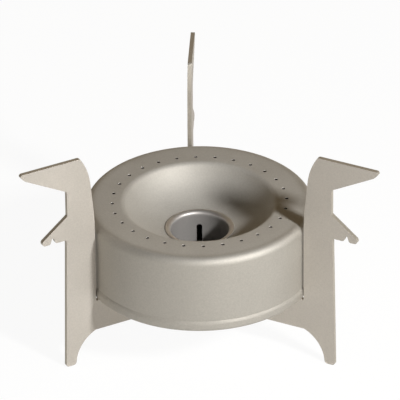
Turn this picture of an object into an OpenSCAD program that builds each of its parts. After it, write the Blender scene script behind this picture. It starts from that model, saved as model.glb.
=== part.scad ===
// Spirit stove: a pressed titanium burner standing in a folding tripod of three flat blades.
// Millimetres. +Z is up, the table is at z = 0, and the burner's axis is the Z axis.

/* [Burner shell] */
// Outer diameter of the burner's straight wall
wall_d = 82; // [70:0.5:100]
// Height of the burner, from the seam's lowest edge to the flat rim
burner_h = 29.6; // [24:0.1:40]
// Thickness of the shell's sheet
shell_t = 0.5; // [0.4:0.05:0.8]
// Outside radius between the wall and the rim
shoulder_r = 3; // [2:0.1:4]
// Radius at which the flat rim ends and the bowl begins
bowl_mouth_r = 28.6; // [27:0.1:29.4]
// Radius of the rounded edge of the bowl
bowl_edge_r = 2.5; // [1.5:0.1:4]
// Slope of the bowl just below its edge, in degrees
bowl_upper_slope = 59; // [45:1:65]
// Slope of the bowl where it meets the centre tube, in degrees
bowl_lower_slope = 12; // [5:1:20]

/* [Jets] */
// Number of flame jets in the rim
jet_count = 28; // [16:1:32]
// Radius of the circle of jets
jet_circle_r = 31.3; // [30.4:0.1:33]
// Diameter of one jet
jet_d = 0.9; // [0.6:0.05:1.4]
// Direction of the first jet, in degrees from +X
jet_start = 92.3; // [0:0.1:360]

/* [Centre tube] */
// Radius of the tube's bore
tube_bore_r = 10.3; // [8:0.1:11]
// Thickness of the tube's wall
tube_t = 0.45; // [0.3:0.05:0.7]
// Radius of the lip that rolls over the bowl's inner edge
lip_r = 1.75; // [1.2:0.05:2.5]
// How far the lip lies on the bowl past the end of its roll
lip_lap = 0.75; // [0.4:0.05:1.5]
// Number of feed slots in the tube
feed_slot_count = 3; // [2:1:6]
// Width of a feed slot
feed_slot_w = 2.1; // [1:0.1:4]
// Height of a feed slot above the pan's floor
feed_slot_h = 10.3; // [4:0.1:11]
// Direction of the first feed slot, in degrees from +X
feed_slot_start = 90.6; // [0:0.1:360]

/* [Fuel pan] */
// Thickness of the pan's sheet
pan_t = 0.4; // [0.3:0.05:0.6]
// Height of the seam band that wraps the foot of the wall
seam_h = 4.2; // [4.2:0.1:6]
// Outside radius of the seam's rounded lower corners
seam_corner_r = 1.3; // [1:0.05:1.45]
// Width of the flat ring that the burner stands on
seam_flat_w = 0.4; // [0.2:0.05:1]
// Height of the seam's flared upper part
seam_flare_h = 2.6; // [0.6:0.1:2.7]
// Thickness of the seam's upper edge
seam_edge_t = 0.1; // [0.05:0.05:0.25]
// Depth of the tray under the burner
tray_depth = 3; // [2.5:0.1:3.4]
// Radius of the corner between the tray and its wall
tray_corner_r = 0.8; // [0.4:0.1:1]

/* [Leg blades] */
// Thickness of the three blades
blade_t = 1.5; // [1:0.1:2]
// Height of the seats above the table
seat_h = 24.8; // [22:0.1:40]
// Height of the arm that runs in under the burner
arm_h = 12.5; // [9:0.1:14]
// Width of the stem above the hook
stem_w = 10.8; // [8:0.1:14]
// How much wider the stem is just under the hook
stem_step = 0.45; // [0:0.05:0.8]
// Distance of the foot's outer edge from the seat's edge
foot_reach = 12.35; // [10:0.05:16]
// Width of the foot
foot_w = 3.95; // [3:0.05:6]
// How far the crown of the foot's arch, if it were whole, would stand above the arm's lower edge
arch_overshoot = 1.05; // [0.2:0.05:3]
// Radius of the foot's inner corner
foot_inner_r = 1.2; // [0.4:0.1:1.6]
// Radius of the foot's outer corner
foot_outer_r = 0.9; // [0.4:0.1:1.2]
// Radius of the relief cut in the seat's corner
relief_r = 0.5; // [0.2:0.05:0.6]

/* [Pot supports] */
// Height of the pot supports above the burner's rim
support_rise = 30.1; // [26:0.1:45]
// Height above the rim at which the inner edge starts to lean out
lean_start = 4.5; // [2:0.5:8]
// Radius where the upright edge starts to lean
lean_r = 90; // [20:1:120]
// Height from the bend in the leaning edge to the top
crown_drop = 5.6; // [4:0.1:7]
// Distance of that bend from the seat's edge
crown_inset = 1.95; // [1.2:0.05:2.4]
// Radius of that bend
crown_r = 24; // [10:0.5:26]
// Distance of the top inner corner from the seat's edge
top_inset = 5.3; // [4.6:0.1:7]
// Radius of the top inner corner
top_corner_r = 1.1; // [0.4:0.1:1.4]
// Distance of the beak's sharp corner from the seat's edge
beak_reach = 29.7; // [25:0.1:36]
// Height from the foot of the beak's lower edge, at the stem, to the top
beak_root_drop = 11.9; // [9:0.1:13]
// Height of the short steep edge under the beak's tip
beak_tip_h = 2.8; // [1.5:0.1:3.5]
// Width of that steep edge
beak_tip_w = 2.4; // [1.5:0.1:4]
// Radius of the beak's tip
beak_tip_r = 0.77; // [0.3:0.01:1]
// Radius where the steep edge runs into the beak's lower edge
beak_bend_r = 3; // [1:0.1:5]
// Radius where the beak's lower edge meets the stem
beak_root_r = 1; // [0.3:0.1:2]

/* [Windscreen hooks] */
// Height of the hook's root above the burner's rim
hook_root_rise = 8.2; // [7:0.1:11]
// Distance of the hook's lower edge below the burner's rim
hook_drop = 1.5; // [1:0.1:4]
// Distance of the hook's sharp corner from the stem
hook_reach = 12.4; // [12:0.1:15]
// Radius of the hook's round tip
hook_tip_r = 1.2; // [0.8:0.05:1.5]
// Distance of the notch's inner side from the stem
notch_from_stem = 4.8; // [4:0.05:5.4]
// Width of the notch at its mouth
notch_mouth_w = 2.2; // [1.6:0.1:3]
// Width of the notch at its blind end
notch_end_w = 0.6; // [0.5:0.05:1]
// Depth of the notch
notch_depth = 2.3; // [1:0.1:2.6]
// Radius of the notch's mouth
notch_mouth_r = 0.8; // [0.2:0.05:1]
// Radius of the two inside corners where the hook meets the stem
hook_root_r = 0.5; // [0.2:0.05:1]

/* [Hinge under the burner] */
// Radius of the hollow rivet that the blades turn on
rivet_r = 4.8; // [3.5:0.05:5.5]
// Wall of the hollow rivet
rivet_wall = 0.7; // [0.4:0.05:1.2]
// Radius of the rivet's formed heads
rivet_head_r = 7; // [6.6:0.1:9]
// Thickness of the rivet's formed heads
rivet_head_t = 0.8; // [0.5:0.05:1.2]
// Thickness of the washers
washer_t = 0.4; // [0.3:0.05:0.6]
// How far the washers stand out past the eyes
washer_overhang = 0.25; // [0:0.05:0.25]

/* [Fits] */
// Radial clearance of the blades' eyes on the rivet
eye_clear = 0.05; // [0.02:0.01:0.1]
// Radial clearance of the washers on the rivet
washer_clear = 0.1; // [0.05:0.01:0.3]
// Clearance between the stacked eyes, washers and heads
stack_gap = 0.05; // [0.03:0.01:0.15]
// Clearance between the burner's seam and the seats' upright edges
seat_side_gap = 0.3; // [0.2:0.05:0.8]
// Clearance between the burner's lowest ring and the seats
seat_gap = 0.05; // [0.03:0.01:0.2]
// Clearance between two blades folded side by side
fold_gap = 0.3; // [0.2:0.05:1]
// Clearance between sheets that lap over each other
lap_gap = 0.05; // [0.02:0.01:0.1]
// Clearance between a blade's full height and the other blades' eyes
hub_gap = 0.4; // [0.3:0.05:1]

/* [Photographed pose] */
// Direction of the rear blade, in degrees from +X
rear_dir = 87; // [80:0.1:96]
// Direction of the left blade, in degrees from +X
left_dir = 208.2; // [200:0.1:215]
// Direction of the right blade, in degrees from +X
right_dir = 333.3; // [328:0.1:338]

/* [Colours] */
// Colour of the bead-blasted shell
shell_colour = "#a8a197";
// Colour of the tube inside the bowl
tube_colour = "#8f8a85";
// Colour of the pan
pan_colour = "#b3afa6";
// Colour of the blades
blade_colour = "#b8b2a6";
// Colour of the rivet and the washers
rivet_colour = "#8c8881";

/* [Hidden] */
$fn = 96;
arc_steps = 12;
long_arc_steps = 28;
long_arc_r = 8;
over = 1;

wall_r = wall_d / 2;
seam_r = wall_r + lap_gap + pan_t;
burner_z = seat_h + seat_gap;
rim_z = burner_z + burner_h;
floor_z = burner_z + tray_depth + pan_t;

arm_z = seat_h - arm_h;
support_z = rim_z + support_rise;
seat_r = seam_r + seat_side_gap;

eye_r = rivet_r + eye_clear;
eye_outer_r = eye_r + blade_t;
eye_pitch = (arm_h + washer_t + 2 * stack_gap) / 3;
eye_h = eye_pitch - washer_t - 2 * stack_gap;
hub_r = eye_outer_r + hub_gap;
washer_r = eye_outer_r + washer_overhang;

// Sideways place of each blade, so that the three fold flat beside each other.
rear_side = eye_r + blade_t / 2;
right_side = 0;
left_side = right_side - blade_t - fold_gap;

// A point at radius r and angle a from a centre c.
function polar(c, r, a) = c + r * [cos(a), sin(a)];

// Points along an arc.
function arc(c, r, from, to, steps) =
  [for (i = [0:steps]) polar(c, r, from + (to - from) * i / steps)];

function reversed(path) = [for (i = [len(path) - 1:-1:0]) path[i]];

function unit(v) = v / norm(v);

function plan(corner) = [corner.x, corner.y];

// Half the angle between the two sides that meet at a corner.
function half_angle(before, corner, after) =
  acos(unit(plan(before) - plan(corner)) * unit(plan(after) - plan(corner))) / 2;

// The points that round one corner with radius r.
function rounded_corner(before, corner, after, r) =
  let (
    p = plan(corner),
    to_before = unit(plan(before) - p),
    to_after = unit(plan(after) - p),
    half = half_angle(before, corner, after),
    centre = p + unit(to_before + to_after) * r / sin(half),
    start = p + to_before * r / tan(half) - centre,
    turn = 180 - 2 * half,
    way = cross(to_before, to_after) < 0 ? 1 : -1,
    from = atan2(start.y, start.x),
    steps = r > long_arc_r ? long_arc_steps : arc_steps
  )
  r == 0 ? [p] : arc(centre, r, from, from + way * turn, steps);

// The share of two roundings that fits on the side between them.
function share(side, a, b) = a + b > side ? side / (a + b) : 1;

// A closed outline whose corners are [x, y, radius]. Roundings that would meet on a side shrink.
function rounded_outline(corners) =
  let (
    n = len(corners),
    last = [for (i = [0:n - 1]) corners[(i + n - 1) % n]],
    next = [for (i = [0:n - 1]) corners[(i + 1) % n]],
    side = [for (i = [0:n - 1]) norm(plan(next[i]) - plan(corners[i]))],
    reach = [for (i = [0:n - 1]) corners[i][2] / tan(half_angle(last[i], corners[i], next[i]))],
    fit = [for (i = [0:n - 1]) share(side[i], reach[i], reach[(i + 1) % n])]
  )
  [
    for (i = [0:n - 1])
      each rounded_corner(last[i], corners[i], next[i], corners[i][2] * min(fit[i], fit[(i + n - 1) % n]))
  ];

// ---- burner ----

bowl_edge_centre = [bowl_mouth_r, rim_z - bowl_edge_r];
bowl_start = polar(bowl_edge_centre, bowl_edge_r, 90 + bowl_upper_slope);
// The bowl meets the tube's lip where the lip ends.
crease_r = tube_bore_r + lip_r * (1 - sin(bowl_lower_slope)) + lip_lap * cos(bowl_lower_slope);
bowl_r = (bowl_start.x - crease_r) / (sin(bowl_upper_slope) - sin(bowl_lower_slope));
bowl_centre = polar(bowl_start, bowl_r, 90 + bowl_upper_slope);
crease = polar(bowl_centre, bowl_r, bowl_lower_slope - 90);
// The bowl's sheet ends under the roll of the lip.
lip_inside_r = lip_r - tube_t - lap_gap;
tube_hole_r = tube_bore_r + lip_r - lip_inside_r * sin(bowl_lower_slope);

// A point of the bowl's straight inner edge, at radius r and a height above the sheet.
function bowl_inner_edge(r, above) =
  [r, crease.y + (r - crease_r) * tan(bowl_lower_slope) + above / cos(bowl_lower_slope)];

// One face of the shell's sheet, from the tube's hole out and down the wall.
// depth is 0 for the outer face and the sheet's thickness for the inner one.
function shell_face(depth) = concat(
  [bowl_inner_edge(tube_hole_r, -depth)],
  arc(bowl_centre, bowl_r + depth, bowl_lower_slope - 90, bowl_upper_slope - 90, long_arc_steps),
  arc(bowl_edge_centre, bowl_edge_r - depth, 90 + bowl_upper_slope, 90, arc_steps),
  arc([wall_r - shoulder_r, rim_z - shoulder_r], shoulder_r - depth, 90, 0, arc_steps),
  [[wall_r - depth, burner_z + seam_corner_r]]
);

module jets() {
  for (i = [0:jet_count - 1])
    rotate([0, 0, jet_start + i * 360 / jet_count])
      translate([jet_circle_r, 0, rim_z - shell_t - over])
        cylinder(d = jet_d, h = shell_t + 2 * over);
}

module burner_shell() {
  color(shell_colour)
    difference() {
      rotate_extrude()
        polygon(concat(shell_face(0), reversed(shell_face(shell_t))));
      jets();
    }
}

lip_centre_r = tube_bore_r + lip_r;
lip_centre = bowl_inner_edge(lip_centre_r, -lip_inside_r);

// One face of the tube, from the pan's floor up and out over the bowl's inner edge.
// depth is 0 for the bore and the tube's thickness for the outside.
function tube_face(depth) =
  let (lip_end = polar(lip_centre, lip_r - depth, 90 + bowl_lower_slope))
  concat(
    [[tube_bore_r + depth, floor_z]],
    arc(lip_centre, lip_r - depth, 180, 90 + bowl_lower_slope, arc_steps),
    [polar(lip_end, lip_lap, bowl_lower_slope)]
  );

module feed_slots() {
  for (i = [0:feed_slot_count - 1])
    rotate([0, 0, feed_slot_start + i * 360 / feed_slot_count])
      translate([0, 0, floor_z + feed_slot_h - feed_slot_w / 2]) {
        rotate([0, 90, 0])
          cylinder(d = feed_slot_w, h = tube_bore_r + tube_t + over);
        translate([0, -feed_slot_w / 2, -feed_slot_h])
          cube([tube_bore_r + tube_t + over, feed_slot_w, feed_slot_h]);
      }
}

module centre_tube() {
  color(tube_colour)
    difference() {
      rotate_extrude()
        polygon(concat(tube_face(0), reversed(tube_face(tube_t))));
      feed_slots();
    }
}

seam_corner_z = burner_z + seam_corner_r;
seam_outer_corner_r = seam_r - seam_corner_r;
seam_inner_corner_r = seam_outer_corner_r - seam_flat_w;
tray_wall_r = seam_inner_corner_r - seam_corner_r;
tray_corner = [tray_wall_r - tray_corner_r, burner_z + tray_depth - tray_corner_r];

// One face of the pan's sheet, from the middle of the floor to the seam's upper edge.
// depth is 0 for the underside and the sheet's thickness for the upper side.
function pan_face(depth) = concat(
  [[0, burner_z + tray_depth + depth]],
  arc(tray_corner, tray_corner_r + depth, 90, 0, arc_steps),
  arc([seam_inner_corner_r, seam_corner_z], seam_corner_r - depth, 180, 270, arc_steps),
  arc([seam_outer_corner_r, seam_corner_z], seam_corner_r - depth, 270, 360, arc_steps)
);

module fuel_pan() {
  seam_edge = [
    [seam_r, burner_z + seam_h - seam_flare_h],
    [seam_r - pan_t + seam_edge_t, burner_z + seam_h],
    [seam_r - pan_t, burner_z + seam_h]
  ];
  color(pan_colour)
    rotate_extrude()
      polygon(concat(pan_face(0), seam_edge, reversed(pan_face(pan_t))));
}

// ---- legs ----

notch_inner = stem_w + notch_from_stem;
notch_outer = notch_inner + notch_mouth_w;
notch_middle = (notch_inner + notch_outer) / 2;
hook_z = rim_z - hook_drop;
foot_inner = foot_reach - foot_w;
arch_r = arm_z + arch_overshoot;
arch_centre = [foot_inner - arch_r, 0];
// The arch ends where the rounding of the foot's inner corner begins.
arch_end = asin(foot_inner_r / arch_r);

// The blade's outline outside the seat. x is counted outwards from the seat's upright edge.
function blade_corners(inner_end) = [
  [inner_end, arm_z, 0],
  for (p = arc(arch_centre, arch_r, asin(arm_z / arch_r), arch_end, long_arc_steps)) [p.x, p.y, 0],
  [foot_inner, 0, foot_inner_r],
  [foot_reach, 0, foot_outer_r],
  [stem_w + stem_step, hook_z, hook_root_r],
  [notch_inner, hook_z, notch_mouth_r],
  [notch_middle - notch_end_w / 2, hook_z + notch_depth, notch_end_w / 3],
  [notch_middle + notch_end_w / 2, hook_z + notch_depth, notch_end_w / 3],
  [notch_outer, hook_z, notch_mouth_r],
  [stem_w + hook_reach, hook_z, hook_tip_r],
  [stem_w, rim_z + hook_root_rise, hook_root_r],
  [stem_w, support_z - beak_root_drop, beak_root_r],
  [beak_reach - beak_tip_w, support_z - beak_tip_h, beak_bend_r],
  [beak_reach, support_z, beak_tip_r],
  [top_inset, support_z, top_corner_r],
  [crown_inset, support_z - crown_drop, crown_r],
  [0, rim_z + lean_start, lean_r],
  [0, seat_h, 0],
  [inner_end, seat_h, 0]
];

// One blade with its eye round the rivet.
// side is the blade's sideways place and level counts the eyes from below.
module leg(direction, side, level) {
  near_side = max(0, abs(side) - blade_t / 2);
  seat_x = sqrt(seat_r * seat_r - near_side * near_side);
  hub_x = sqrt(hub_r * hub_r - near_side * near_side);
  eye_z = arm_z + level * eye_pitch;
  rotate([0, 0, direction])
    difference() {
      union() {
        translate([seat_x, side + blade_t / 2, 0])
          rotate([90, 0, 0])
            linear_extrude(blade_t)
              polygon(rounded_outline(blade_corners(hub_x - seat_x)));
        translate([0, side - blade_t / 2, eye_z])
          cube([hub_x + over, blade_t, eye_h]);
        translate([0, 0, eye_z])
          cylinder(r = eye_outer_r, h = eye_h);
      }
      translate([0, 0, eye_z - over])
        cylinder(r = eye_r, h = eye_h + 2 * over);
      translate([seat_x - relief_r, side, seat_h])
        rotate([90, 0, 0])
          cylinder(r = relief_r, h = blade_t + over, center = true);
    }
}

module leg_right() {
  color(blade_colour) leg(right_dir, right_side, 0);
}

module leg_left() {
  color(blade_colour) leg(left_dir, left_side, 1);
}

module leg_rear() {
  color(blade_colour) leg(rear_dir, rear_side, 2);
}

// ---- hinge ----

set_washer_z = arm_z - stack_gap - washer_t;
lower_head_z = set_washer_z - stack_gap - rivet_head_t;
upper_head_z = seat_h + stack_gap;

// Upper and lower faces of a formed head, as a ring with rounded outer edges.
module formed_head(z) {
  translate([0, 0, z])
    rotate_extrude()
      polygon(rounded_outline([
        [rivet_r - rivet_wall, 0, 0],
        [rivet_head_r, 0, rivet_head_t / 3],
        [rivet_head_r, rivet_head_t, rivet_head_t / 3],
        [rivet_r - rivet_wall, rivet_head_t, rivet_head_t / 3]
      ]));
}

module hinge_rivet() {
  shank_h = upper_head_z + rivet_head_t / 2 - lower_head_z - rivet_head_t / 2;
  color(rivet_colour)
    difference() {
      union() {
        translate([0, 0, lower_head_z + rivet_head_t / 2])
          cylinder(r = rivet_r, h = shank_h);
        formed_head(upper_head_z);
        translate([0, 0, 2 * lower_head_z + rivet_head_t])
          mirror([0, 0, 1])
            formed_head(lower_head_z);
      }
      translate([0, 0, lower_head_z - over])
        cylinder(r = rivet_r - rivet_wall, h = shank_h + rivet_head_t + 2 * over);
    }
}

module washer(z) {
  color(rivet_colour)
    translate([0, 0, z])
      difference() {
        cylinder(r = washer_r, h = washer_t);
        translate([0, 0, -over])
          cylinder(r = rivet_r + washer_clear, h = washer_t + 2 * over);
      }
}

module set_washer() {
  washer(set_washer_z);
}

module spacer_lower() {
  washer(arm_z + eye_h + stack_gap);
}

module spacer_upper() {
  washer(arm_z + eye_pitch + eye_h + stack_gap);
}

burner_shell();
centre_tube();
fuel_pan();
leg_right();
leg_left();
leg_rear();
hinge_rivet();
set_washer();
spacer_lower();
spacer_upper();
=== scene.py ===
import math

import bmesh
import bpy
from mathutils import Matrix, Vector, noise


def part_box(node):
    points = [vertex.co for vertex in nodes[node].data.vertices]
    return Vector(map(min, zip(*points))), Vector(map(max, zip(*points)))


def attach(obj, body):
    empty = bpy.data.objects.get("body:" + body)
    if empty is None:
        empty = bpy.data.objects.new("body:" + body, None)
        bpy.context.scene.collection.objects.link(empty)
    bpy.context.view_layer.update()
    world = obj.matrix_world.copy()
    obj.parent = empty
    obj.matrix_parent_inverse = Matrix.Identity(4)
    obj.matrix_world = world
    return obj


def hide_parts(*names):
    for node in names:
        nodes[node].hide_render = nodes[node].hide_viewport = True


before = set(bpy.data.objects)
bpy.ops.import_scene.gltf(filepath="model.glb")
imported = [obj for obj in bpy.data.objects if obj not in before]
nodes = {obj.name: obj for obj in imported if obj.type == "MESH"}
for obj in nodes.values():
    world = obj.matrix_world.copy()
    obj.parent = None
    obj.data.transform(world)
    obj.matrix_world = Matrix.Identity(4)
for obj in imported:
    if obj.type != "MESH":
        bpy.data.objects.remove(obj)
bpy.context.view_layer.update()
mm = 0.001
print("stove: frame loaded with", len(nodes), "nodes")


# A colour as a screen shows it (sRGB), turned into the linear values that the shaders take.
def linearColour(hexText):
    channels = [int(hexText[i:i + 2], 16) / 255 for i in (1, 3, 5)]
    return [c / 12.92 if c <= 0.04045 else ((c + 0.055) / 1.055) ** 2.4 for c in channels] + [1.0]


# Adds one node. A setting is a property of the node or the value of one of its inputs.
def addNode(tree, kind, settings=None, links=None):
    node = tree.nodes.new(kind)
    for key, value in (settings or {}).items():
        if isinstance(key, str) and hasattr(node, key):
            setattr(node, key, value)
        else:
            node.inputs[key].default_value = value
    for key, socket in (links or {}).items():
        tree.links.new(socket, node.inputs[key])
    return node


def newMaterial(name):
    material = bpy.data.materials.new(name)
    material.use_nodes = True
    material.node_tree.nodes.clear()
    return material, material.node_tree


# The two noises, and the values that each mostly lies between.
patchNoise = {"detail": 3.0, "roughness": 0.55, "low": 0.35, "high": 0.65}
gritNoise = {"detail": 2.0, "roughness": 0.6, "low": 0.3, "high": 0.7}


# Bead-blasted titanium: shot at a few bar leaves overlapping pits, so the metal looks soft and even,
# with a broad warm grey highlight and hardly a mirror image. Its dull oxide scatters a share of the
# light like paint, which metallic below 1 stands for. Patches are where the shot dwelt longer. A look
# with handledFrom changes across that radius: its outer side is smoother, and its inner side's colour
# is scaled down, which in the tube's bore is painted shade.
def beadBlasted(name, look):
    material, tree = newMaterial(name)
    place = addNode(tree, "ShaderNodeTexCoord").outputs["Object"]
    patches = addNode(tree, "ShaderNodeTexNoise",
                      {"Scale": 1 / (look["patch"] * mm), "Detail": patchNoise["detail"],
                       "Roughness": patchNoise["roughness"]}, {"Vector": place})
    grit = addNode(tree, "ShaderNodeTexNoise",
                   {"Scale": 1 / (look["grit"] * mm), "Detail": gritNoise["detail"],
                    "Roughness": gritNoise["roughness"]}, {"Vector": place})
    tone = addNode(tree, "ShaderNodeMixRGB",
                   {"Color1": linearColour(look["deep"]), "Color2": linearColour(look["pale"])},
                   {"Fac": patches.outputs["Fac"]})
    speck = addNode(tree, "ShaderNodeMapRange",
                    {"From Min": gritNoise["low"], "From Max": gritNoise["high"],
                     "To Min": 1 - look["speck"], "To Max": 1 + look["speck"]},
                    {"Value": grit.outputs["Fac"]})
    colour = addNode(tree, "ShaderNodeVectorMath", {"operation": "SCALE"},
                     {0: tone.outputs["Color"], "Scale": speck.outputs["Result"]})
    rough = addNode(tree, "ShaderNodeMapRange",
                    {"From Min": patchNoise["low"], "From Max": patchNoise["high"],
                     "To Min": look["rough"] - look["roughSpread"],
                     "To Max": look["rough"] + look["roughSpread"]},
                    {"Value": patches.outputs["Fac"]})
    bump = addNode(tree, "ShaderNodeBump",
                   {"Strength": look["bump"], "Distance": look["pitDepth"] * mm},
                   {"Height": grit.outputs["Fac"]})
    shader = addNode(tree, "ShaderNodeBsdfPrincipled", {"Metallic": look["metallic"]},
                     {"Base Color": colour.outputs["Vector"], "Roughness": rough.outputs["Result"],
                      "Normal": bump.outputs["Normal"]})
    if "handledFrom" in look:
        level = addNode(tree, "ShaderNodeVectorMath", {"operation": "MULTIPLY", 1: (1, 1, 0)}, {0: place})
        radius = addNode(tree, "ShaderNodeVectorMath", {"operation": "LENGTH"}, {0: level.outputs["Vector"]})
        handled = addNode(tree, "ShaderNodeMapRange",
                          {"interpolation_type": "SMOOTHSTEP", "From Min": look["handledFrom"] * mm,
                           "From Max": look["handledTo"] * mm}, {"Value": radius.outputs["Value"]})
        sheen = addNode(tree, "ShaderNodeMapRange",
                        {"To Min": look["metallic"], "To Max": look["handledMetallic"]},
                        {"Value": handled.outputs["Result"]})
        smoother = addNode(tree, "ShaderNodeMath", {"operation": "MULTIPLY_ADD", 1: look["handledRough"]},
                           {0: handled.outputs["Result"], 2: rough.outputs["Result"]})
        # Inside handledFrom the colour is scaled down: in the tube's bore this is painted shade.
        boreShadeScale = addNode(tree, "ShaderNodeMapRange", {"To Min": look["innerShadeTint"], "To Max": 1.0},
                          {"Value": handled.outputs["Result"]})
        boreShadedColour = addNode(tree, "ShaderNodeVectorMath", {"operation": "SCALE"},
                          {0: colour.outputs["Vector"], "Scale": boreShadeScale.outputs["Result"]})
        tree.links.new(boreShadedColour.outputs["Vector"], shader.inputs["Base Color"])
        tree.links.new(sheen.outputs["Result"], shader.inputs["Metallic"])
        tree.links.new(smoother.outputs["Value"], shader.inputs["Roughness"])
    addNode(tree, "ShaderNodeOutputMaterial", None, {"Surface": shader.outputs["BSDF"]})
    return material


# On a real sheet the pits are likely about 0.1 mm. They are drawn at 0.4 to 0.6 mm, so that they show.
# Hands have rubbed the burner's shoulder and wall a little smoother than its bowl and rim.
sheetLook = {"deep": "#bab6ae", "pale": "#c4c0b8", "patch": 14, "grit": 0.6, "speck": 0.05,
             "metallic": 0.52, "rough": 0.68, "roughSpread": 0.03, "bump": 0.3, "pitDepth": 0.06,
             "handledFrom": 36, "handledTo": 40, "innerShadeTint": 1.0,
             "handledMetallic": 0.88, "handledRough": -0.02}
plateLook = {"deep": "#beb8af", "pale": "#c8c2b9", "patch": 18, "grit": 0.6, "speck": 0.05,
             "metallic": 0.5, "rough": 0.6, "roughSpread": 0.04, "bump": 0.3, "pitDepth": 0.06}
# Cut edges are blasted too, but their corners are rubbed smoother, so they glint.
cutEdgeLook = {"deep": "#bdb7ab", "pale": "#c9c3b8", "patch": 6, "grit": 0.5, "speck": 0.05,
               "metallic": 0.75, "rough": 0.55, "roughSpread": 0.03, "bump": 0.2, "pitDepth": 0.05}
rubbedLook = {"deep": "#c4beb3", "pale": "#cec8bd", "patch": 6, "grit": 0.4, "speck": 0.02,
              "metallic": 0.85, "rough": 0.48, "roughSpread": 0.03, "bump": 0.05, "pitDepth": 0.03}
# Drawn titanium tube. Its lip was blasted with the sheet round it. Its bore was heated by the flame,
# which leaves a dull oxide of a colder grey with hardly any shine. The bore is also drawn much darker
# than the lip: painted shade inside the tube.
tubeLook = {"deep": "#d2cdc8", "pale": "#dad5d0", "patch": 8, "grit": 0.5, "speck": 0.03,
            "metallic": 0.1, "rough": 0.75, "roughSpread": 0.03, "bump": 0.15, "pitDepth": 0.04,
            # The bore's colour, at 0.37 of the lip's, is painted shade.
            "handledFrom": 10.35, "handledTo": 10.75, "innerShadeTint": 0.37,
            "handledMetallic": 0.9, "handledRough": -0.27}
# Rivet and washers of tumbled titanium: the stones leave them smooth, with a satin shine.
hingeLook = {"deep": "#a8a29b", "pale": "#b5afa7", "patch": 5, "grit": 0.4, "speck": 0.02,
             "metallic": 0.95, "rough": 0.42, "roughSpread": 0.04, "bump": 0.04, "pitDepth": 0.03}

sheetMetal = beadBlasted("bead-blasted titanium sheet", sheetLook)
plateMetal = beadBlasted("bead-blasted titanium plate", plateLook)
cutEdgeMetal = beadBlasted("blasted cut edge of titanium plate", cutEdgeLook)
rubbedMetal = beadBlasted("rubbed corner of titanium plate", rubbedLook)
tubeMetal = beadBlasted("drawn titanium tube", tubeLook)
hingeMetal = beadBlasted("tumbled titanium", hingeLook)


# Painted shade for the jets' bores: matt and nearly black, in patches.
def paintedShade(name, look):
    material, tree = newMaterial(name)
    place = addNode(tree, "ShaderNodeTexCoord").outputs["Object"]
    patches = addNode(tree, "ShaderNodeTexNoise",
                      {"Scale": 1 / (look["patch"] * mm), "Detail": patchNoise["detail"]},
                      {"Vector": place})
    tone = addNode(tree, "ShaderNodeMixRGB",
                   {"Color1": linearColour(look["deep"]), "Color2": linearColour(look["pale"])},
                   {"Fac": patches.outputs["Fac"]})
    shader = addNode(tree, "ShaderNodeBsdfPrincipled", {"Metallic": 0.0, "Roughness": look["rough"]},
                     {"Base Color": tone.outputs["Color"]})
    addNode(tree, "ShaderNodeOutputMaterial", None, {"Surface": shader.outputs["BSDF"]})
    return material


boreShadeLook = {"deep": "#1c1816", "pale": "#332c28", "patch": 0.5, "rough": 0.9}
boreShadeMetal = paintedShade("painted shade in jet bores", boreShadeLook)
print("stove: materials made")


# Vertices nearer than samePlace become one, and edges shorter than sliver go: both in millimetres. Faces
# bent less than flatAngle become one, and edges bent more than sharpAngle look sharp: both in degrees.
care = {"samePlace": 0.0005, "sliver": 0.02, "flatAngle": 0.05, "sharpAngle": 40}


# Outlines to be turned about the burner's axis. A point is (radius, height) in millimetres.
def polar(centre, radius, angle):
    return (centre[0] + radius * math.cos(math.radians(angle)),
            centre[1] + radius * math.sin(math.radians(angle)))


def arcPoints(centre, radius, start, end, steps):
    return [polar(centre, radius, start + (end - start) * i / steps) for i in range(steps + 1)]


def straightPoints(start, end, steps):
    return [(start[0] + (end[0] - start[0]) * i / steps, start[1] + (end[1] - start[1]) * i / steps)
            for i in range(1, steps + 1)]


# Turns a closed outline, with each vertex moved a little by waver. Returns one row of vertices for each
# point of the outline.
def turnedRows(bm, outline, startAngle, count, waver):
    rows = []
    for index, (radius, height) in enumerate(outline):
        row = []
        for step in range(count):
            angle = math.radians(startAngle) + 2 * math.pi * step / count
            r, z = waver(index, angle, radius, height)
            row.append(bm.verts.new((r * mm * math.cos(angle), r * mm * math.sin(angle), z * mm)))
        rows.append(row)
    return rows


def skinRows(bm, rows, skipped=()):
    for index, row in enumerate(rows):
        if index in skipped:
            continue
        above = rows[(index + 1) % len(rows)]
        for step in range(len(row)):
            following = (step + 1) % len(row)
            bm.faces.new((row[step], row[following], above[following], above[step]))


def finishMesh(name, bm, materials, sharpAngle=care["sharpAngle"]):
    bmesh.ops.remove_doubles(bm, verts=bm.verts, dist=care["samePlace"] * mm)
    bmesh.ops.recalc_face_normals(bm, faces=bm.faces)
    mesh = bpy.data.meshes.new(name)
    bm.to_mesh(mesh)
    bm.free()
    mesh.shade_smooth()
    mesh.set_sharp_from_angle(angle=math.radians(sharpAngle))
    for material in materials:
        mesh.materials.append(material)
    piece = bpy.data.objects.new(name, mesh)
    bpy.context.scene.collection.objects.link(piece)
    return piece


# A copy of a modelled piece, with its flat faces whole again.
def solidCopy(nodeName):
    source = nodes[nodeName].data
    bm = bmesh.new()
    corners = [bm.verts.new(v.co) for v in source.vertices]
    for polygon in source.polygons:
        bm.faces.new([corners[i] for i in polygon.vertices])
    bmesh.ops.remove_doubles(bm, verts=bm.verts, dist=care["samePlace"] * mm)
    bmesh.ops.dissolve_limit(bm, angle_limit=math.radians(care["flatAngle"]), verts=bm.verts, edges=bm.edges)
    return bm
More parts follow.
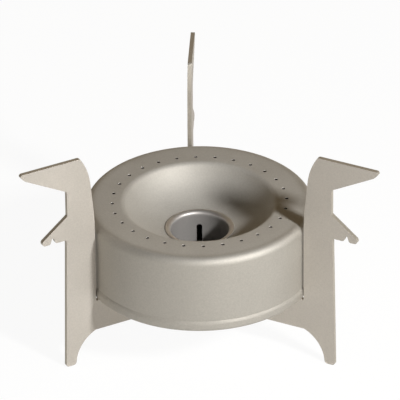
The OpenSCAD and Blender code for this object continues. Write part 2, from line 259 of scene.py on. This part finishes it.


# Burner shell: one pressed sheet, from the tube's hole over the bowl, the rim and the shoulder to the
# foot of the wall. Its jets are drilled, with a fine bright rim, and their bores are painted nearly
# black as shade.
shell = {
    "wallRadius": 41, "sheet": 0.5, "shoulderRadius": 3,
    "bowlMouthRadius": 28.6, "bowlEdgeRadius": 2.5, "bowlUpperSlope": 59, "bowlLowerSlope": 12,
    "creaseRadius": 12.42, "tubeHoleRadius": 11.79,
    "jetCount": 28, "jetCircleRadius": 31.3, "jetRadius": 0.56, "jetStart": 92.3,
    "jetBand": 1.1, "jetSteps": 9, "countersink": 0.13,
    "unevenness": 0.03, "unevenLength": 26, "flatDepth": 0.6,
    "bowlSteps": 40, "edgeSteps": 16, "shoulderSteps": 24, "wallSteps": 8,
}
shellMetals = [sheetMetal, boreShadeMetal]
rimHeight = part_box("burner_shell")[1].z / mm
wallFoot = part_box("burner_shell")[0].z / mm


# The bowl: from the tube's hole up a shallow cone, one long arc and the rounded edge of the mouth.
def bowlArc(depth):
    edgeCentre = (shell["bowlMouthRadius"], rimHeight - shell["bowlEdgeRadius"])
    upper, lower = shell["bowlUpperSlope"], shell["bowlLowerSlope"]
    bowlTop = polar(edgeCentre, shell["bowlEdgeRadius"], 90 + upper)
    spread = math.sin(math.radians(upper)) - math.sin(math.radians(lower))
    bowlRadius = (bowlTop[0] - shell["creaseRadius"]) / spread
    bowlCentre = polar(bowlTop, bowlRadius, 90 + upper)
    bowl = arcPoints(bowlCentre, bowlRadius + depth, lower - 90, upper - 90, shell["bowlSteps"])
    drop = (bowl[0][0] - shell["tubeHoleRadius"]) * math.tan(math.radians(lower))
    hole = (shell["tubeHoleRadius"], bowl[0][1] - drop)
    edge = arcPoints(edgeCentre, shell["bowlEdgeRadius"] - depth, 90 + upper, 90, shell["edgeSteps"])
    return [hole] + bowl + edge[1:]


# One face of the sheet, and the place of the jets' band in it.
def shellFace(depth):
    inner = bowlArc(depth)
    band = [(shell["jetCircleRadius"] + side * shell["jetBand"], rimHeight - depth) for side in (-1, 1)]
    wall, bend = shell["wallRadius"], shell["shoulderRadius"]
    shoulder = arcPoints((wall - bend, rimHeight - bend), bend - depth, 90, 0, shell["shoulderSteps"])
    foot = straightPoints(shoulder[-1], (wall - depth, wallFoot), shell["wallSteps"])
    return inner + band + shoulder + foot, len(inner)


# Pressed sheet is never perfectly round: it wavers a few hundredths of a millimetre.
def pressedWaver(index, angle, radius, height):
    spot = Vector((radius * math.cos(angle), radius * math.sin(angle), height)) / shell["unevenLength"]
    push = noise.noise(spot) * shell["unevenness"]
    flat = abs(height - rimHeight) < shell["flatDepth"] and radius > shell["bowlMouthRadius"]
    return (radius, height) if flat else (radius + push, height)


# Fills one sector of the jets' band round its jet, in both faces of the sheet, with the hole between.
# The hole's vertices go in step with the sector's edge: along its inner side, back along its outer side.
def fillJet(bm, outerRows, innerRows, first, angle, count):
    steps = shell["jetSteps"]
    radial = Vector((math.cos(angle), math.sin(angle), 0))
    along = Vector((-math.sin(angle), math.cos(angle), 0))
    middle = radial * shell["jetCircleRadius"] * mm
    turns = [math.radians(-180 + (k + 0.5) * 180 / (steps + 1)) for k in range(2 * (steps + 1))]

    def rim(rows):
        near = [rows[0][(first + k) % count] for k in range(steps + 1)]
        far = [rows[1][(first + k) % count] for k in range(steps + 1)]
        return near + far[::-1]

    def ring(radius, height):
        spots = [middle + along * math.cos(t) * radius * mm + radial * math.sin(t) * radius * mm
                 for t in turns]
        return [bm.verts.new((s.x, s.y, height * mm)) for s in spots]

    jet, sink, sheet = shell["jetRadius"], shell["countersink"], shell["sheet"]
    rings = [rim(outerRows), ring(jet + sink, rimHeight), ring(jet, rimHeight - sink),
             ring(jet, rimHeight - sheet), rim(innerRows)]
    boreStart = 2
    for place, (upper, lower) in enumerate(zip(rings, rings[1:])):
        # The jets' bores take the nearly black painted shade.
        metal = boreShadeMetal if place >= boreStart else sheetMetal
        for k in range(len(turns)):
            n = (k + 1) % len(turns)
            face = bm.faces.new((upper[k], upper[n], lower[n], lower[k]))
            face.material_index = shellMetals.index(metal)


def makeShell():
    bm = bmesh.new()
    outer, bandPlace = shellFace(0)
    inner, bandPlace = shellFace(shell["sheet"])
    outline = outer + inner[::-1]
    jets, steps = shell["jetCount"], shell["jetSteps"]
    count = jets * steps
    start = shell["jetStart"] - 180 / jets
    rows = turnedRows(bm, outline, start, count, pressedWaver)
    innerPlace = len(outline) - 2 - bandPlace
    skinRows(bm, rows, (bandPlace, innerPlace))
    outerRows = (rows[bandPlace], rows[bandPlace + 1])
    innerRows = (rows[innerPlace + 1], rows[innerPlace])
    for jet in range(jets):
        angle = math.radians(shell["jetStart"] + 360 / jets * jet)
        fillJet(bm, outerRows, innerRows, jet * steps, angle, count)
    return finishMesh("burnerShellSheet", bm, shellMetals)


shellPiece = makeShell()
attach(shellPiece, "burner")
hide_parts("burner_shell")
print("stove: burner shell made")


# Fuel pan: floor, tray below and the seam rolled up round the foot of the wall. A wheel pressed the
# seam's upper edge down on the wall, so a bevel of uneven width runs along it and catches the light.
pan = {
    "sheet": 0.4, "lap": 0.05, "seamHeight": 4.2, "cornerRadius": 1.3, "standWidth": 0.4,
    "bevelHeight": 1.5, "edgeThickness": 0.04, "trayDepth": 3, "trayCornerRadius": 0.8,
    "edgeWaver": 0.14, "bevelWaver": 0.45, "dents": 0.06, "waverLength": 9, "dentLength": 2.6,
    "bevelShift": (7, 3, 0), "lipSink": 0.02, "sharpAngle": 50,
    "count": 480, "traySteps": 10, "standSteps": 10, "cornerSteps": 14, "beltSteps": 3,
}
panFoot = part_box("fuel_pan")[0].z / mm
seamRadius = shell["wallRadius"] + pan["lap"] + pan["sheet"]


# One face of the sheet: the floor over the tray, the tray's corner, the ring that the pan stands on and
# the corner up to the seam.
def panFace(depth):
    corner, tray = pan["cornerRadius"], pan["trayCornerRadius"]
    outerCorner = (seamRadius - corner, panFoot + corner)
    innerCorner = (outerCorner[0] - pan["standWidth"], panFoot + corner)
    trayCorner = (innerCorner[0] - corner - tray, panFoot + pan["trayDepth"] - tray)
    return ([(0, panFoot + pan["trayDepth"] + depth)]
            + arcPoints(trayCorner, tray + depth, 90, 0, pan["traySteps"])
            + arcPoints(innerCorner, corner - depth, 180, 270, pan["standSteps"])
            + arcPoints(outerCorner, corner - depth, 270, 360, pan["cornerSteps"]))


# The bevel's rows: the share of its height above its foot, and the share of its depth at that row.
bevelShape = [(0, 0), (0.12, 0.03), (0.3, 0.16), (0.55, 0.42), (0.8, 0.74), (0.94, 0.94), (1, 1)]


def makePan():
    bm = bmesh.new()
    top = panFoot + pan["seamHeight"]
    outerEdge = shell["wallRadius"] + pan["edgeThickness"]
    under = panFace(0)
    beltTop = (seamRadius, top - pan["bevelHeight"] - pan["bevelWaver"])
    belt = straightPoints(under[-1], beltTop, pan["beltSteps"])[:-1]
    bevel = [(seamRadius + (outerEdge - seamRadius) * depth, top - pan["bevelHeight"] * (1 - rise))
             for rise, depth in bevelShape]
    lip = [(shell["wallRadius"] - pan["lipSink"], top)]
    over = panFace(pan["sheet"])
    over[-1] = (seamRadius - pan["sheet"], top - pan["bevelHeight"])
    outline = under + belt + bevel + lip + over[::-1]
    bevelStart = len(under) + len(belt)
    bevelRows = len(bevel) + len(lip)

    def rolledWaver(index, angle, radius, height):
        place = index - bevelStart
        if place < 0 or place >= bevelRows:
            return radius, height
        rise = bevelShape[min(place, len(bevelShape) - 1)][0]
        around = Vector((math.cos(angle), math.sin(angle), 0)) * seamRadius
        lift = noise.noise(around / pan["waverLength"]) * pan["edgeWaver"]
        foot = noise.noise(around / pan["waverLength"] + Vector(pan["bevelShift"])) * pan["bevelWaver"]
        dent = noise.noise(around / pan["dentLength"] + Vector((0, 0, rise))) * pan["dents"]
        return radius + dent * math.sin(math.pi * rise), height + lift * rise + foot * (1 - rise)

    rows = turnedRows(bm, outline, 0, pan["count"], rolledWaver)
    skinRows(bm, rows)
    return finishMesh("fuelPanSheet", bm, [sheetMetal], pan["sharpAngle"])


panPiece = makePan()
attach(panPiece, "burner")
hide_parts("fuel_pan")
print("stove: fuel pan made")


# Leg blades: cut from 1.5 mm plate and tumbled, so every corner is rounded a little, but for those in
# the seats' small reliefs, where no stone reaches. An edge bent more than cornerAngle is a corner.
blade = {"cornerRadius": 0.16, "cornerSteps": 3, "cornerAngle": 35, "seatRadius": 41.75,
         "reliefReach": 0.9, "faceShare": 0.9}
bladeMetals = [plateMetal, cutEdgeMetal, rubbedMetal]
legDirections = {"leg_right": 333.3, "leg_left": 208.2, "leg_rear": 87}


def makeBlade(nodeName, direction):
    bm = solidCopy(nodeName)
    bmesh.ops.dissolve_degenerate(bm, dist=care["sliver"] * mm, edges=bm.edges)
    bmesh.ops.recalc_face_normals(bm, faces=bm.faces)
    acrossPlate = Vector((-math.sin(math.radians(direction)), math.cos(math.radians(direction)), 0))
    for face in bm.faces:
        onPlate = abs(face.normal.dot(acrossPlate)) > blade["faceShare"]
        face.material_index = bladeMetals.index(plateMetal if onPlate else cutEdgeMetal)
    alongPlate = Vector((math.cos(math.radians(direction)), math.sin(math.radians(direction)), 0))

    def inRelief(edge):
        middle = (edge.verts[0].co + edge.verts[1].co) / 2 / mm
        outward, upward = middle.dot(alongPlate) - blade["seatRadius"], middle.z - panFoot
        return math.hypot(outward, upward) < blade["reliefReach"]

    edges = [e for e in bm.edges
             if e.calc_face_angle(0) > math.radians(blade["cornerAngle"]) and not inRelief(e)]
    bmesh.ops.bevel(bm, geom=edges, offset=blade["cornerRadius"] * mm, offset_type="OFFSET",
                    segments=blade["cornerSteps"], profile=0.5, affect="EDGES",
                    material=bladeMetals.index(rubbedMetal), clamp_overlap=True, loop_slide=True)
    name = nodeName.removeprefix("leg_") + "Blade"
    piece = finishMesh(name, bm, bladeMetals)
    weighted = piece.modifiers.new("flat faces", "WEIGHTED_NORMAL")
    weighted.keep_sharp = True
    return piece


legBodies = {"leg_right": "stand", "leg_left": "left_leg", "leg_rear": "rear_leg"}
for nodeName, direction in legDirections.items():
    bladePiece = makeBlade(nodeName, direction)
    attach(bladePiece, legBodies[nodeName])
    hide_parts(nodeName)
print("stove: blades made")


# Centre tube: the end of its rolled lip was deburred, so it blends into the bowl.
tube = {"lipEdgeFrom": 12.3, "edgeRadius": 0.2, "edgeSteps": 4, "cornerAngle": 35}


def makeTube():
    bm = solidCopy("centre_tube")
    bmesh.ops.recalc_face_normals(bm, faces=bm.faces)
    edges = [e for e in bm.edges if e.calc_face_angle(0) > math.radians(tube["cornerAngle"])
             and min(v.co.xy.length for v in e.verts) > tube["lipEdgeFrom"] * mm]
    bmesh.ops.bevel(bm, geom=edges, offset=tube["edgeRadius"] * mm, offset_type="OFFSET",
                    segments=tube["edgeSteps"], profile=0.5, affect="EDGES",
                    clamp_overlap=True, loop_slide=True)
    return finishMesh("centreTubeSheet", bm, [tubeMetal])


tubePiece = makeTube()
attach(tubePiece, "burner")
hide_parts("centre_tube")
print("stove: centre tube made")


# The rivet and the washers keep their modelled shape.
for nodeName in ("hinge_rivet", "set_washer", "spacer_lower", "spacer_upper"):
    nodes[nodeName].data.materials.clear()
    nodes[nodeName].data.materials.append(hingeMetal)
print("stove: hinge finished")


# Floor: pale paper, drawn nearly white to the camera. The rest is the paper's own shading, so a faint
# soft shadow stays under the stove. The metal mirrors more of that shading, shadows and all.
floorLook = {"colour": "#f2f1ee", "glow": 0.92, "mirroredGlow": 0.4,
             "shownStrength": 1.02, "mirroredStrength": 0.84, "halfWidth": 8.0, "drop": 0.05}


def makeFloor():
    mesh = bpy.data.meshes.new("floor")
    half = floorLook["halfWidth"]
    corners = [(-half, -half, 0), (half, -half, 0), (half, half, 0), (-half, half, 0)]
    mesh.from_pydata(corners, [], [(0, 1, 2, 3)])
    floor = bpy.data.objects.new("floor", mesh)
    floor.location.z = -floorLook["drop"] * mm
    bpy.context.scene.collection.objects.link(floor)
    material, tree = newMaterial("white studio paper")
    path = addNode(tree, "ShaderNodeLightPath")
    seen = addNode(tree, "ShaderNodeMath", {"operation": "MAXIMUM"},
                   {0: path.outputs["Is Camera Ray"], 1: path.outputs["Is Transmission Ray"]})
    mirrored = addNode(tree, "ShaderNodeMath", {"operation": "MULTIPLY", 1: floorLook["mirroredGlow"]},
                       {0: path.outputs["Is Glossy Ray"]})
    share = addNode(tree, "ShaderNodeMath", {"operation": "MULTIPLY_ADD", 1: floorLook["glow"]},
                    {0: seen.outputs[0], 2: mirrored.outputs[0]})
    paper = addNode(tree, "ShaderNodeBsdfDiffuse", {"Color": linearColour(floorLook["colour"])})
    strength = addNode(tree, "ShaderNodeMapRange",
                       {"To Min": floorLook["mirroredStrength"], "To Max": floorLook["shownStrength"]},
                       {"Value": path.outputs["Is Camera Ray"]})
    glow = addNode(tree, "ShaderNodeEmission", {"Color": (1, 1, 1, 1)},
                   {"Strength": strength.outputs["Result"]})
    mix = addNode(tree, "ShaderNodeMixShader", None,
                  {0: share.outputs[0], 1: paper.outputs[0], 2: glow.outputs[0]})
    addNode(tree, "ShaderNodeOutputMaterial", None, {"Surface": mix.outputs[0]})
    mesh.materials.append(material)


makeFloor()


# Studio: pale low round the table, a dim brown room higher up, so that the flat rim looks darker and
# warmer than the walls. The camera sees it as white.
studio = {"low": "#b5aa99", "back": "#9c855f", "front": "#231e1a", "high": "#100e0c",
          "lowTop": 0.1, "roomStart": 0.3, "roomTop": 0.6, "highStart": 0.85,
          "frontEnd": 0.1, "backStart": 0.7}


def makeStudio():
    world = bpy.data.worlds.new("studio")
    bpy.context.scene.world = world
    world.use_nodes = True
    tree = world.node_tree
    tree.nodes.clear()
    place = addNode(tree, "ShaderNodeTexCoord").outputs["Generated"]
    axes = addNode(tree, "ShaderNodeSeparateXYZ", None, {"Vector": place})
    behind = addNode(tree, "ShaderNodeMapRange",
                     {"From Min": studio["frontEnd"], "From Max": studio["backStart"]},
                     {"Value": axes.outputs["Y"]})
    room = addNode(tree, "ShaderNodeMixRGB",
                   {"Color1": linearColour(studio["front"]), "Color2": linearColour(studio["back"])},
                   {"Fac": behind.outputs["Result"]})
    rise = addNode(tree, "ShaderNodeMapRange",
                   {"From Min": studio["lowTop"], "From Max": studio["roomStart"]},
                   {"Value": axes.outputs["Z"]})
    zenith = addNode(tree, "ShaderNodeMapRange",
                     {"From Min": studio["roomTop"], "From Max": studio["highStart"]},
                     {"Value": axes.outputs["Z"]})
    walls = addNode(tree, "ShaderNodeMixRGB", {"Color1": linearColour(studio["low"])},
                    {"Fac": rise.outputs["Result"], "Color2": room.outputs["Color"]})
    sky = addNode(tree, "ShaderNodeMixRGB", {"Color2": linearColour(studio["high"])},
                  {"Fac": zenith.outputs["Result"], "Color1": walls.outputs["Color"]})
    path = addNode(tree, "ShaderNodeLightPath")
    shown = addNode(tree, "ShaderNodeMixRGB", {"Color2": (1, 1, 1, 1)},
                    {"Fac": path.outputs["Is Camera Ray"], "Color1": sky.outputs["Color"]})
    back = addNode(tree, "ShaderNodeBackground", {"Strength": 1.0}, {"Color": shown.outputs["Color"]})
    addNode(tree, "ShaderNodeOutputWorld", None, {"Surface": back.outputs[0]})


makeStudio()


# A lamp is placed by its direction from the stove and aimed at the rim.
def addLamp(name, lamp):
    data = bpy.data.lights.new(name, "AREA")
    data.shape = "DISK"
    data.size = lamp["size"]
    data.energy = lamp["power"]
    data.color = linearColour(lamp["colour"])[:3]
    azimuth, elevation = math.radians(lamp["azimuth"]), math.radians(lamp["elevation"])
    away = Vector((math.cos(elevation) * math.cos(azimuth), math.cos(elevation) * math.sin(azimuth),
                   math.sin(elevation)))
    light = bpy.data.objects.new(name, data)
    light.location = Vector((0, 0, rimHeight * mm)) + away * lamp["distance"]
    light.rotation_euler = away.to_track_quat("Z", "Y").to_euler()
    bpy.context.scene.collection.objects.link(light)


# A small strong lamp at the front right casts the crisp shadows, a wide weak one in front fills them.
keyLamp = {"azimuth": -47, "elevation": 34, "distance": 0.9, "size": 0.12, "power": 9.0,
           "colour": "#ffffff"}
frontLamp = {"azimuth": -98, "elevation": 18, "distance": 1.2, "size": 0.9, "power": 1.5,
             "colour": "#ffffff"}
addLamp("keyLamp", keyLamp)
addLamp("frontLamp", frontLamp)
print("stove: floor, studio and lamps made")


# Camera: a long lens, from the front and 30.8 degrees above the table. Distance and aim are in metres,
# lens and sensor in millimetres.
view = {"elevation": 30.8, "roll": -0.475, "distance": 2.0976, "lens": 527.2, "sensor": 36,
        "aimRight": 0.00018, "aimUp": 0.00029, "clipEnd": 50}


def makeCamera():
    tilt, roll = math.radians(view["elevation"]), math.radians(view["roll"])
    back = Vector((0, -math.cos(tilt), math.sin(tilt)))
    levelRight, levelUp = Vector((1, 0, 0)), Vector((0, math.sin(tilt), math.cos(tilt)))
    right = levelRight * math.cos(roll) + levelUp * math.sin(roll)
    up = levelUp * math.cos(roll) - levelRight * math.sin(roll)
    aim = Vector((0, 0, rimHeight * mm)) + right * view["aimRight"] + up * view["aimUp"]
    data = bpy.data.cameras.new("camera")
    data.sensor_width = view["sensor"]
    data.lens = view["lens"]
    data.clip_end = view["clipEnd"]
    camera = bpy.data.objects.new("camera", data)
    turn = Matrix((right, up, back)).transposed().to_4x4()
    camera.matrix_world = Matrix.Translation(aim + back * view["distance"]) @ turn
    bpy.context.scene.collection.objects.link(camera)
    bpy.context.scene.camera = camera


makeCamera()
bpy.context.scene.view_settings.view_transform = "Standard"
print("stove: camera placed")
